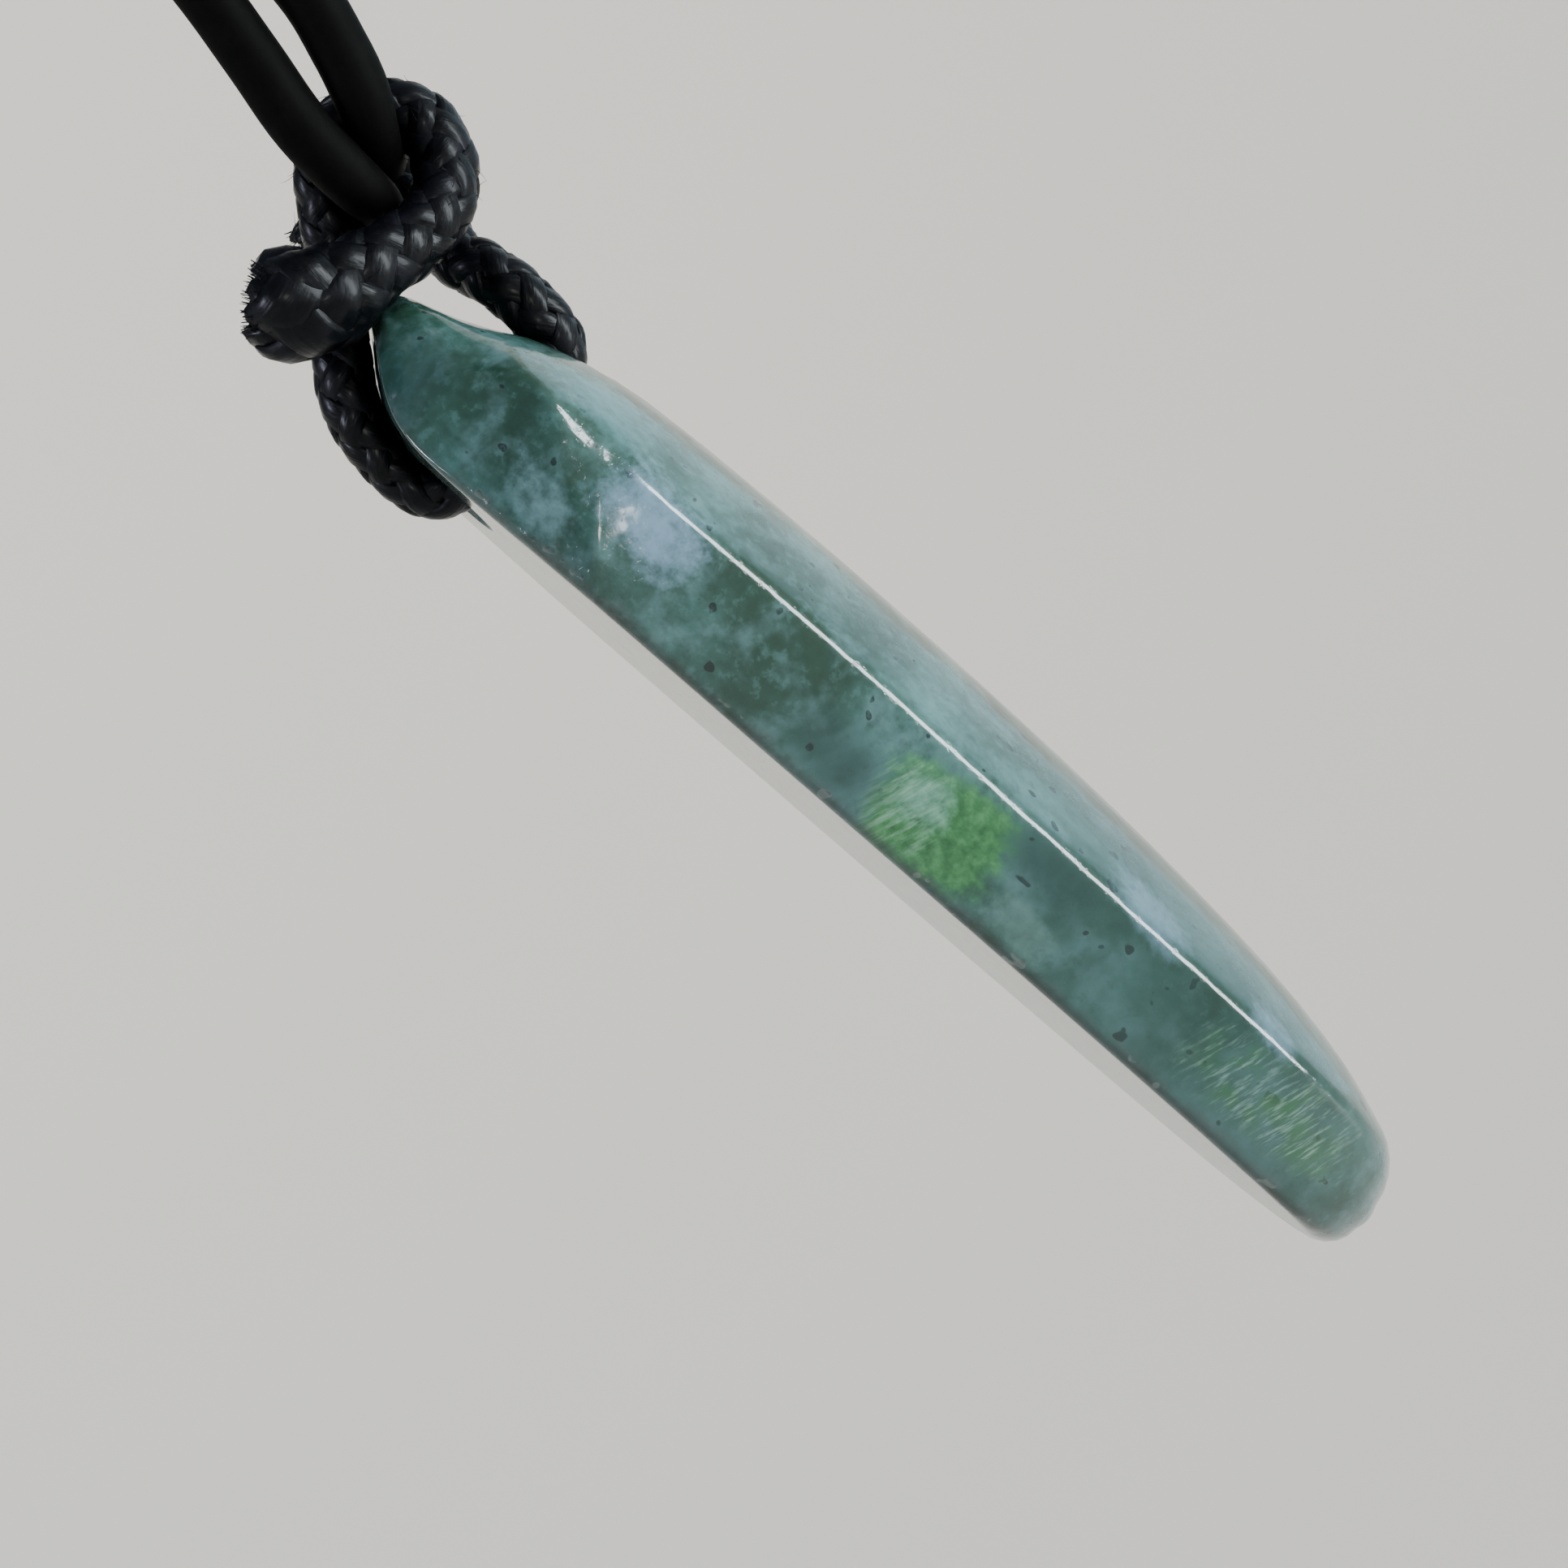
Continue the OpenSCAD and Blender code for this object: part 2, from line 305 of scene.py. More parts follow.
# %% [markdown]
# The stone's fibres run through its thickness and lean 20 degrees towards the tip. In the green
# zones they show as pale streaks, about 0.2 mm apart. They are noise that is drawn out along the
# fibres.

# %% Polished jadeite: fibres
FIBRE_LEAN = math.radians(20)
fibre_place = add(
    tree, "ShaderNodeMapping",
    {"Vector": millimetres, "Rotation": (FIBRE_LEAN, 0, 0), "Scale": (1.8, 1.1, 0.15)},
    vector_type="TEXTURE",
).outputs["Vector"]
fibre = add(
    tree, "ShaderNodeTexNoise", {"Vector": fibre_place, "Scale": 1, "Detail": 3, "Roughness": 0.6}
).outputs["Fac"]
pale_fibre = add(
    tree, "ShaderNodeMapRange", {"Value": fibre, "From Min": 0.44, "From Max": 0.72, "To Max": 0.7}
).outputs["Result"]
white_fibre = add(
    tree, "ShaderNodeMapRange", {"Value": fibre, "From Min": 0.5, "From Max": 0.7, "To Max": 0.55}
).outputs["Result"]

# %% [markdown]
# Below its middle the stone is painted darker and greener: painted shade where the key light falls
# most. Two zones near its edge are green. The patch is apple green with a milky heart and pale
# streaks. The zone at the tip is a fainter green that follows the clouds, and it is crossed by thin
# white fibres.

# %% Polished jadeite: painted shade on the lower half
# Painted shade: the lower half is darkened and greened where the key light falls most strongly.
lower = zone((-6.0, -3.0, -29.5), (6.0, 5.0, 10.5), turn=0.2, ragged=1.3, edge=1.2)
lower_part = add(tree, "ShaderNodeMath", {0: lower, 1: 0.6}, operation="MULTIPLY").outputs["Value"]
darkened = add(
    tree, "ShaderNodeMix", {"Factor": lower_part, MIX_A: mottled, MIX_B: linear("#25403a")},
    data_type="RGBA",
).outputs[MIX_OUT]

# %% Polished jadeite: the apple green patch
apple = zone((-8.4, -1.85, -18.6), (3.2, 2.0, 2.8), turn=-0.14, ragged=0.8, edge=0.6)
apple_colour = add(
    tree, "ShaderNodeValToRGB", {"Fac": grain},
    stops=[(0.3, "#4d8656"), (0.5, "#3b7043"), (0.7, "#2c5a36")],
).outputs["Color"]
greened = add(
    tree, "ShaderNodeMix", {"Factor": apple, MIX_A: darkened, MIX_B: apple_colour}, data_type="RGBA"
).outputs[MIX_OUT]
milky = zone((-8.4, -2.2, -17.6), (3.2, 1.1, 1.3), turn=-0.3, ragged=1.3, edge=1.6)
milky_part = add(tree, "ShaderNodeMath", {0: milky, 1: 0.75}, operation="MULTIPLY").outputs["Value"]
milkier = add(
    tree, "ShaderNodeMix", {"Factor": milky_part, MIX_A: greened, MIX_B: linear("#75a096")},
    data_type="RGBA",
).outputs[MIX_OUT]
combed = zone((-8.4, -1.6, -17.3), (3.2, 1.8, 1.7), turn=-0.3, ragged=1.1, edge=1.1)
milky_streaks = add(
    tree, "ShaderNodeMath", {0: combed, 1: pale_fibre}, operation="MULTIPLY"
).outputs["Value"]
streaked = add(
    tree, "ShaderNodeMix", {"Factor": milky_streaks, MIX_A: milkier, MIX_B: linear("#8ab59a")},
    data_type="RGBA",
).outputs[MIX_OUT]

# %% Polished jadeite: the green zone near the tip
tip_zone = zone((-5.5, -2.3, -33.4), (4.2, 1.6, 4.4), turn=-0.06, ragged=1.0, edge=0.9)
tip_part = add(
    tree, "ShaderNodeMapRange", {"Value": cloud, "From Min": 0.4, "From Max": 0.6, "To Max": 0.75}
).outputs["Result"]
tip_green = add(
    tree, "ShaderNodeMath", {0: tip_zone, 1: tip_part}, operation="MULTIPLY"
).outputs["Value"]
greener = add(
    tree, "ShaderNodeMix", {"Factor": tip_green, MIX_A: streaked, MIX_B: linear("#2f5e36")},
    data_type="RGBA",
).outputs[MIX_OUT]
tip_streaks = add(
    tree, "ShaderNodeMath", {0: tip_zone, 1: white_fibre}, operation="MULTIPLY"
).outputs["Value"]
crossed = add(
    tree, "ShaderNodeMix", {"Factor": tip_streaks, MIX_A: greener, MIX_B: linear("#8cab9e")},
    data_type="RGBA",
).outputs[MIX_OUT]

# %% [markdown]
# Some clouds are large enough to be placed one by one. They lie right under the surface: dark on both
# sides of the green patch, and pale on the dome's upper part and below the patch. Painted light is
# placed the same way. The milky blue below the shoulder is partly a paler cloud and partly a painted
# reflection of the sky. Two milky blue spots on the ridge are painted highlights, and the dark at the
# top end is a painted shadow of the knot above.

# %% Polished jadeite: the large clouds and painted light
# Middle and half size in millimetres, how strong the cloud is, its colour
CLOUDS_AND_PAINTED_LIGHT = [
    # Below the shoulder: partly a paler cloud and partly a painted reflection of the sky.
    ((-7.8, -3.1, -5.3), (2.4, 1.5, 2.4), 0.8, "#87a5ba"),
    ((-7.9, -1.3, -1.6), (1.6, 1.1, 2.2), 0.7, "#789ca0"),
    ((-5.4, -5.3, -1.8), (2.6, 1.3, 3.0), 0.5, "#5f8d90"),
    # Painted shadow: the top end is darkened where the knot above shades it.
    ((-6.0, -1.6, 4.2), (4.0, 2.4, 2.3), 0.6, "#22393c"),
    ((-8.0, -1.3, -14.8), (1.6, 1.4, 2.4), 0.6, "#1b312f"),
    ((-8.0, -3.1, -22.4), (1.6, 1.2, 2.4), 0.6, "#1f3936"),
    ((-8.0, -1.1, -22.8), (1.6, 0.9, 1.7), 0.45, "#6a8a83"),
    # Painted highlights: two milky blue spots on the ridge.
    ((-7.2, -4.3, -26.0), (1.8, 0.9, 2.2), 0.5, "#7c9aab"),
    ((-7.0, -4.1, -31.8), (1.6, 0.6, 1.4), 0.5, "#7c9aab"),
]
clouded_and_lit = crossed
for middle, half_size, strong, colour in CLOUDS_AND_PAINTED_LIGHT:
    soft = zone(middle, half_size, turn=0.2, ragged=1.3, edge=1.2)
    part = add(tree, "ShaderNodeMath", {0: soft, 1: strong}, operation="MULTIPLY").outputs["Value"]
    clouded_and_lit = add(
        tree, "ShaderNodeMix", {"Factor": part, MIX_A: clouded_and_lit, MIX_B: linear(colour)},
        data_type="RGBA",
    ).outputs[MIX_OUT]

# %% [markdown]
# A thin brown skin is left on the back and along its edge, where the saw met the weathered outside
# of the rough stone, and this edge has a few small pale chips.

# %% Polished jadeite: back edge and chips
from_back = add(tree, "ShaderNodeSeparateXYZ", {"Vector": millimetres}).outputs["Y"]
ragged_back = add(
    tree, "ShaderNodeMath", {0: cloud, 1: 0.9, 2: from_back}, operation="MULTIPLY_ADD"
).outputs["Value"]
skin = add(
    tree, "ShaderNodeMapRange",
    {"Value": ragged_back, "From Min": -0.1, "From Max": 0.5, "To Max": 0.6},
).outputs["Result"]
skinned = add(
    tree, "ShaderNodeMix", {"Factor": skin, MIX_A: clouded_and_lit, MIX_B: linear("#3d3a33")},
    data_type="RGBA",
).outputs[MIX_OUT]
near_edge = add(
    tree, "ShaderNodeMapRange", {"Value": from_back, "From Min": -0.4, "From Max": -0.25}
).outputs["Result"]
chipped = add(
    tree, "ShaderNodeMapRange", {"Value": speck, "From Min": 0.68, "From Max": 0.71, "To Max": 0.55}
).outputs["Result"]
chips = add(
    tree, "ShaderNodeMath", {0: near_edge, 1: chipped}, operation="MULTIPLY"
).outputs["Value"]
chippy = add(
    tree, "ShaderNodeMix", {"Factor": chips, MIX_A: skinned, MIX_B: linear("#78857d")},
    data_type="RGBA",
).outputs[MIX_OUT]

# %% [markdown]
# Where the braid lies on the back of the stone, the stone is painted dark: painted shade under the
# braid. The patch is also made quite dull, so the stone's back mirrors no pale light between the braid
# and the stone's edge.

# %% Polished jadeite: painted shade under the braid
# Painted shade: a dark patch on the back where the braid lies and shades the stone.
painted_shade_under_braid = zone((0, -0.9, 3.2), (2.6, 2.0, 3.6), ragged=0.6, edge=0.7)
final = add(
    tree, "ShaderNodeMix", {"Factor": painted_shade_under_braid, MIX_A: chippy, MIX_B: linear("#141c1b")},
    data_type="RGBA",
).outputs[MIX_OUT]
tree.links.new(final, shader.inputs["Base Color"])
shine = add(
    tree, "ShaderNodeMapRange", {"Value": painted_shade_under_braid, "From Max": 0.7, "To Min": 0.5, "To Max": 0}
).outputs["Result"]
tree.links.new(shine, shader.inputs["Specular IOR Level"])

# %% [markdown]
# The polish isn't quite perfect. Very shallow waves, about 1.7 mm long, bend its reflections a
# little, and fine pits break them up, so the stone looks ground by hand. Real pits are finer than
# 0.1 mm and are drawn about 0.2 mm wide to show. Two Bump nodes in a row add both.

# %% Polished jadeite: waves and pits
waves = add(
    tree, "ShaderNodeTexNoise", {"Vector": millimetres, "Scale": 0.6, "Detail": 2}
).outputs["Fac"]
gentle = add(
    tree, "ShaderNodeBump", {"Height": waves, "Strength": 0.2, "Distance": 0.25 * MM}
).outputs["Normal"]
pits = add(
    tree, "ShaderNodeTexNoise", {"Vector": millimetres, "Scale": 6, "Detail": 3, "Roughness": 0.65}
).outputs["Fac"]
pit_depth = add(
    tree, "ShaderNodeMapRange", {"Value": pits, "From Min": 0.3, "From Max": 0.42}
).outputs["Result"]
pitted = add(
    tree, "ShaderNodeBump",
    {"Height": pit_depth, "Strength": 0.12, "Distance": 0.03 * MM, "Normal": gentle},
).outputs["Normal"]
tree.links.new(pitted, shader.inputs["Normal"])
print("jade nodes", len(tree.nodes))

# %% [markdown]
# ## The stone's shape
# The stone is a flat-backed dome, long and narrow, that tapers above a soft shoulder. It starts
# as one closed line of vertices, its outline seen from the front, and this line is extruded again
# and again: over the rounded back edge, along the side wall, over the front edge and up the dome
# to the middle. Each new ring is then moved to its height on the dome.

# %% Jade pendant: sizes
HEIGHT = 46.4
WIDTH = 16
DEPTH = 7
DOME_RADIUS = 11
HOLE_UP = 40.5
HOLE_R = 1.2
# Share of the height, share of the half width
OUTLINE = [
    (0, 0), (0.016, 0.33), (0.055, 0.6), (0.125, 0.79), (0.24, 0.93), (0.4, 1), (0.6, 1), (0.7, 0.9955),
    (0.74, 0.988), (0.765, 0.9805), (0.78, 0.975), (0.788, 0.97), (0.796, 0.9555), (0.81, 0.926),
    (0.85, 0.838), (0.915, 0.65), (0.945, 0.53), (0.975, 0.36), (0.993, 0.18), (1, 0),
]
# Share of the height, share of the depth at the crown of the dome
CROWN = [
    (0, 0.56), (0.05, 0.68), (0.1, 0.79), (0.18, 0.885), (0.28, 0.945), (0.42, 0.99), (0.6, 1),
    (0.7, 0.985), (0.78, 0.95), (0.85, 0.88), (0.9, 0.79), (0.935, 0.69), (0.97, 0.61), (1, 0.55),
]
# Share of the height, share of the depth that the back is cut away at the top end
BACK_CUT = [
    (0, 0), (0.895, 0), (0.912, 0.008), (0.93, 0.033), (0.948, 0.092), (0.97, 0.207), (0.99, 0.338),
    (1, 0.41),
]
OUTLINE_STEPS = 10
SMOOTHING = 0.012


def clamp(number):
    """Keeps a number between 0 and 1."""
    return min(max(number, 0), 1)


def read(table, share):
    """A value of a table at a share of the height, smoothed over a short stretch."""
    found = []
    for s in (share - SMOOTHING, share, share + SMOOTHING):
        s = clamp(s)
        i = max(k for k in range(len(table) - 1) if table[k][0] <= s)
        rows = [table[min(max(k, 0), len(table) - 1)] for k in (i - 1, i, i + 1, i + 2)]
        (s0, v0), (s1, v1), (s2, v2), (s3, v3) = rows
        wide = s2 - s1
        t = (s - s1) / wide
        start = (v2 - v1) / wide if i == 0 else (v2 - v0) / (s2 - s0)
        end = (v2 - v1) / wide if i == len(table) - 2 else (v3 - v1) / (s3 - s1)
        found.append(
            v1 * (2 * t ** 3 - 3 * t * t + 1) + v2 * (3 * t * t - 2 * t ** 3)
            + wide * (start * (t ** 3 - 2 * t * t + t) + end * (t ** 3 - t * t))
        )
    return sum(found) / len(found)


def bump(share, middle, half):
    """1 at the middle and 0 beyond half, smoothly."""
    return 0.5 + 0.5 * math.cos(math.pi * clamp(abs(share - middle) / half))


# %% [markdown]
# Two short functions give the depth of the flat back and of the domed front at any place. The
# front edge is rounded more at the shoulder, the tip and the top end, where years of wear and the
# polishing wheel take most away. The shoulder's crease leans: it lies lower at the back than at the
# front.

# %% Jade pendant: outline and depths
half_line = [Vector((w * WIDTH / 2, h * HEIGHT)) for h, w in OUTLINE]
ring = half_line + [Vector((-p.x, p.y)) for p in reversed(half_line[1:-1])]
wrapped = curve_through([list(p) for p in ring[-1:] + ring + ring[:2]], OUTLINE_STEPS)
outline = [Vector(p) for p in wrapped[OUTLINE_STEPS:-OUTLINE_STEPS - 1]]
inwards = []
for i in range(len(outline)):
    along = outline[(i + 1) % len(outline)] - outline[i - 1]
    inwards.append(Vector((-along.y, along.x)).normalized())
middle = Vector((0, HEIGHT / 2))
print("outline", len(outline), "points")


def front_of(p):
    """The dome's height over the flat back. p is a place in the outline's plane."""
    return DEPTH * read(CROWN, clamp(p.y / HEIGHT)) - p.x ** 2 / (2 * DOME_RADIUS)


def back_of(p):
    """How deep the back is cut away there."""
    return DEPTH * read(BACK_CUT, clamp(p.y / HEIGHT))


# %% Jade pendant: rounded edges and the leaning crease
BACK_ROUND = 0.4
FRONT_ROUND = 0.4
# What is added to the front edge's radius at the tip, at the shoulder and at the top end
TIP_WEAR = 1.3
SHOULDER_WEAR = 1.1
TOP_WEAR = 1.4
# What is taken from the back edge's radius at the top end
TOP_BACK_LESS = 0.3
# How far the tip's wear reaches up, in millimetres
TIP_REACH = 3.4
# Shares of the height: where the top end's wear starts in front and at the back, how soon it is
# full, and how far the shoulder's wear reaches up and down
FRONT_TOP = 0.87
BACK_TOP = 0.86
TOP_FADE = 0.06
SHOULDER_REACH = 0.055
# Neither edge's radius is more than this share of the depth
MOST_ROUND = 0.47
# The crease's place and reach are shares of the height, and its lean is in millimetres
CREASE_AT = 0.79
CREASE_LEAN = 3.2
CREASE_REACH = 0.17
SIDE_DEPTH = 4


def roundings(p):
    """The radii of the back edge and of the front edge at a place on the outline."""
    share = p.y / HEIGHT
    tip = max(0, 1 - p.y / TIP_REACH)
    worn = clamp((share - FRONT_TOP) / TOP_FADE)
    back_r = BACK_ROUND - TOP_BACK_LESS * clamp((share - BACK_TOP) / TOP_FADE) + tip
    front_r = (
        FRONT_ROUND + TIP_WEAR * tip + SHOULDER_WEAR * bump(share, CREASE_AT, SHOULDER_REACH)
        + TOP_WEAR * worn * worn * (3 - 2 * worn)
    )
    room = MOST_ROUND * (front_of(p) - back_of(p))
    return min(back_r, room), min(front_r, room)


def leaned(x, y, z):
    """Leans the shoulder's crease: higher towards the front, lower towards the back."""
    across = clamp(-y / SIDE_DEPTH) - 0.5
    return x, y, z + CREASE_LEAN * across * bump(z / HEIGHT, CREASE_AT, CREASE_REACH)


# %% Jade pendant: rings of the surface
# How far out from the middle each ring of the back and of the dome lies
BACK_RINGS = (0.2, 0.4, 0.6, 0.75, 0.85, 0.92, 0.97)
DOME_RINGS = (0.975, 0.94, 0.89, 0.83, 0.76, 0.68, 0.6, 0.51, 0.42, 0.33, 0.24, 0.15, 0.07)
EDGE_STEPS = 5
WALL_STEPS = 8
WALL_SWELL = 0.12


def stone_rings():
    """The rings from the middle of the back to the middle of the front, as lists of x, y, z."""
    radii = [roundings(p) for p in outline]
    rings = []
    for keep in BACK_RINGS:
        inner = [middle + keep * (p + r[0] * n - middle) for p, n, r in zip(outline, inwards, radii)]
        rings.append([(p.x, -back_of(p), p.y) for p in inner])
    for step in range(EDGE_STEPS + 1):
        a = math.radians(90 * step / EDGE_STEPS)
        one = []
        for p, n, r in zip(outline, inwards, radii):
            q = p + r[0] * (1 - math.sin(a)) * n
            one.append((q.x, -back_of(q) - r[0] * (1 - math.cos(a)), q.y))
        rings.append(one)
    start = rings[-1]
    rounded = []
    for step in range(EDGE_STEPS + 1):
        a = math.radians(90 - 90 * step / EDGE_STEPS)
        one = []
        for p, n, r in zip(outline, inwards, radii):
            q = p + r[1] * (1 - math.sin(a)) * n
            one.append((q.x, -front_of(q) + r[1] * (1 - math.cos(a)), q.y))
        rounded.append(one)
    for step in range(1, WALL_STEPS):
        t = step / WALL_STEPS
        swell = -WALL_SWELL * math.sin(math.pi * t)
        one = []
        for a, b, n in zip(start, rounded[0], inwards):
            q = Vector(a).lerp(Vector(b), t) + swell * Vector((n.x, 0, n.y))
            one.append(tuple(q))
        rings.append(one)
    rings += rounded
    for keep in DOME_RINGS:
        inner = [middle + keep * (p + r[1] * n - middle) for p, n, r in zip(outline, inwards, radii)]
        rings.append([(p.x, -front_of(p), p.y) for p in inner])
    return rings


# %% Jade pendant: extrude and close the rings
def stone_place(p):
    """A ring's point with the crease leaned, measured from the hole and not from the tip."""
    return place(*(Vector(leaned(*p)) + Vector((0, 0, -HOLE_UP))))


bm = bmesh.new()
rings = stone_rings()
verts = [bm.verts.new(stone_place(p)) for p in rings[0]]
edges = [bm.edges.new((a, b)) for a, b in zip(verts, verts[1:] + verts[:1])]
bmesh.ops.contextual_create(bm, geom=edges)
for points in rings[1:]:
    made = bmesh.ops.extrude_edge_only(bm, edges=edges)["geom"]
    edges = [g for g in made if isinstance(g, bmesh.types.BMEdge) and g.is_boundary]
    older = set(verts)
    newer = {}
    for vert in (g for g in made if isinstance(g, bmesh.types.BMVert)):
        newer[next(e.other_vert(vert) for e in vert.link_edges if e.other_vert(vert) in older)] = vert
    verts = [newer[v] for v in verts]
    for vert, p in zip(verts, points):
        vert.co = stone_place(p)
bmesh.ops.contextual_create(bm, geom=edges)
bmesh.ops.poke(bm, faces=[f for f in bm.faces if len(f.verts) > 4])
print("stone", len(bm.faces), "faces")

# %% [markdown]
# The hole is drilled from front to back. A drill wanders and chips, so both mouths are widened.
# The cutter is a small lathe shape, made by spinning a profile round the drill's axis, and a
# Boolean takes it out of the stone.


# %% Lathe helper and the drilled hole
def lathe(bm, profile, axis_point, axis, segments):
    """Spins a profile of (radius, along) in millimetres round an axis."""
    axis = Vector(axis).normalized()
    side = axis.orthogonal().normalized()
    points = [bm.verts.new(Vector(axis_point) + (side * r + axis * t) * MM) for r, t in profile]
    line = [bm.edges.new(pair) for pair in zip(points, points[1:])]
    bmesh.ops.spin(
        bm, geom=points + line, cent=axis_point, axis=axis, angle=math.tau, steps=segments, use_merge=True
    )
    bmesh.ops.remove_doubles(bm, verts=bm.verts, dist=MM * 1e-3)
    bmesh.ops.recalc_face_normals(bm, faces=bm.faces)


# The profile gives the radius and the place along the drill's axis, from the back to the front.
drill = bmesh.new()
lathe(
    drill,
    [(0, -2), (HOLE_R + 2.7, -2), (HOLE_R + 0.7, 0), (HOLE_R + 0.25, 0.35), (HOLE_R, 0.8), (HOLE_R, 4.1),
     (HOLE_R + 0.35, 5), (HOLE_R + 0.85, 5.9), (HOLE_R + 2, 7.6), (0, 7.6)],
    place(0, 0, 0), (0, -1, 0), 64,
)
cutter = object_of("drill", drill)
stone = finish_piece("jade_stone", bm, "pendant", jade, stands_for="jade_pendant")
SHARP_FROM = 32
cut = stone.modifiers.new("drilled", "BOOLEAN")
cut.object = cutter
cut.solver = "EXACT"
bpy.context.view_layer.update()
drilled = bpy.data.meshes.new_from_object(stone.evaluated_get(bpy.context.evaluated_depsgraph_get()))
stone.modifiers.clear()
stone.data = drilled
stone.data.shade_smooth()
stone.data.set_sharp_from_angle(angle=math.radians(SHARP_FROM))
bpy.data.objects.remove(cutter)
print("drilled stone", len(drilled.polygons), "faces")

# %% [markdown]
# ## Cords
# Both cords follow the lines of the part's solids, where all pieces keep a small gap. Here the
# braid's leg behind the stone lies against it. A cord is made by sweeping: a small ring of
# vertices is extruded along the line, and each new ring is carried on by the matrix that takes one
# station of the line to the next. Each vertex keeps its place along the cord, so that fibres can
# follow the cord through its bends.

# %% Lines of the two cords
BRAID_D = 2.13
CORD_D = 2
CLASP_LENGTH = 13
CLASP_R = 2.2
# x, y, z from the hole and the share of the full diameter, from the cut end in front to the tail
BAIL = [
    (-2.95, -0.55, 8.7, 1.3), (-2.95, -1.15, 7.9, 1.86), (-2.85, -2.15, 7.2, 1.66), (-2.6, -3.7, 6.83, 1.29),
    (-1.9, -5.4, 6.4, 1.15), (-1.3, -6.9, 6.45, 1.1), (-0.7, -8.1, 7.25, 1.1), (-0.3, -8.7, 8.55, 1.08),
    (0, -8.4, 9.85, 1), (0.25, -7.15, 10.75, 0.95), (0.45, -5.6, 10.4, 0.95), (0.65, -4.4, 9.2, 0.95),
    (0.8, -3.3, 7.8, 1), (0.5, -2, 6.7, 1), (0.2, -1.08, 5.7, 1), (0.05, -0.3, 4.8, 1),
    (0, 0.3, 3.65, 0.95), (0, 0.72, 1.8, 0.81), (0, 0.4, 0.5, 0.86), (0, -0.75, 0, 0.98),
    (0, -2.8, 0, 1), (0, -4.8, 0, 1), (0, -6.05, 0.5, 1), (0, -6.45, 1.65, 1),
    (0.2, -6.55, 2.75, 1), (0.8, -6.5, 3.95, 1), (1.65, -6.3, 5.05, 1), (2.35, -6.7, 6.25, 1),
    (2.85, -6.7, 7.55, 1), (2.95, -5.85, 8.5, 1), (2.95, -4.75, 9, 1), (2.95, -3.6, 8.85, 1),
]
KNOT = [
    (5, -8.4, 32, 1), (0.8, -9.5, 24, 1), (-1.6, -9.6, 18.5, 1), (-2.3, -9.2, 14.5, 1),
    (-2.25, -8.5, 12.2, 1), (-2.15, -7.9, 10.8, 0.96), (-1.6, -7.3, 9.75, 0.7), (-0.5, -6.95, 9.1, 0.56),
    (0.6, -7.05, 9, 0.56), (1.7, -7.6, 9.3, 0.58), (2.95, -8.15, 9.3, 0.66), (4.1, -7.7, 9, 0.66),
    (4.85, -6.5, 8.1, 0.58), (4.2, -5.4, 7.15, 0.58), (2.95, -4.85, 6.85, 0.58), (1.7, -5.2, 7.3, 0.58),
    (0.6, -5.65, 7.85, 0.56), (-0.55, -5.7, 8.1, 0.6), (-1.5, -5.6, 8.7, 0.82), (-2, -5.6, 10, 0.96),
    (-2.2, -5.8, 11.8, 1), (-2.35, -6.4, 14.2, 1), (-2.6, -7.1, 17.5, 1), (-4, -7.7, 23, 1),
    (-7.5, -7.2, 32, 1),
]
SIDE = [
    (13.5, -4.5, 44), (22, 1.5, 57), (33.5, 11.5, 72), (45, 24, 87), (54.5, 39.5, 101),
    (59.5, 56.5, 113), (59, 73, 123.5), (52.5, 88, 130.5), (40, 98.5, 134), (24, 104, 135.2),
    (CLASP_LENGTH / 2 + 0.1, 105, 133 + CLASP_R),
]


def stations(rows, spacing):
    """Even stations along a line: place, direction, sideways direction, share, distance."""
    fine = curve_through(rows, 40)
    spots = [Vector(row[:3]) for row in fine]
    run = [0]
    for a, b in zip(spots, spots[1:]):
        run.append(run[-1] + (b - a).length)
    count = max(2, round(run[-1] / spacing))
    made = []
    k = 0
    for i in range(count + 1):
        want = run[-1] * i / count
        while k < len(run) - 2 and run[k + 1] < want:
            k += 1
        t = (want - run[k]) / (run[k + 1] - run[k])
        share = fine[k][3] * (1 - t) + fine[k + 1][3] * t
        made.append([spots[k].lerp(spots[k + 1], t), None, None, share, want])
    side = Vector((0.3, 0.2, 1))
    for i, one in enumerate(made):
        ahead = made[min(i + 1, count)][0] - made[max(i - 1, 0)][0]
        one[1] = ahead.normalized()
        side = (side - one[1] * side.dot(one[1])).normalized()
        one[2] = side.copy()
    return made


# %% Sweep helpers
def cord_mesh():
    """An empty bmesh whose vertices keep their place along the cord and around it."""
    bm = bmesh.new()
    bm.verts.layers.float.new("along")
    bm.verts.layers.float.new("around")
    return bm


def station_matrix(spot, direction, side, wide, thick):
    """Takes a circle of radius 1 to an ellipse across the cord at one station."""
    axes = Matrix((side * thick * MM, direction.cross(side) * wide * MM, direction)).transposed()
    return Matrix.Translation(place(*spot)) @ axes.to_4x4()


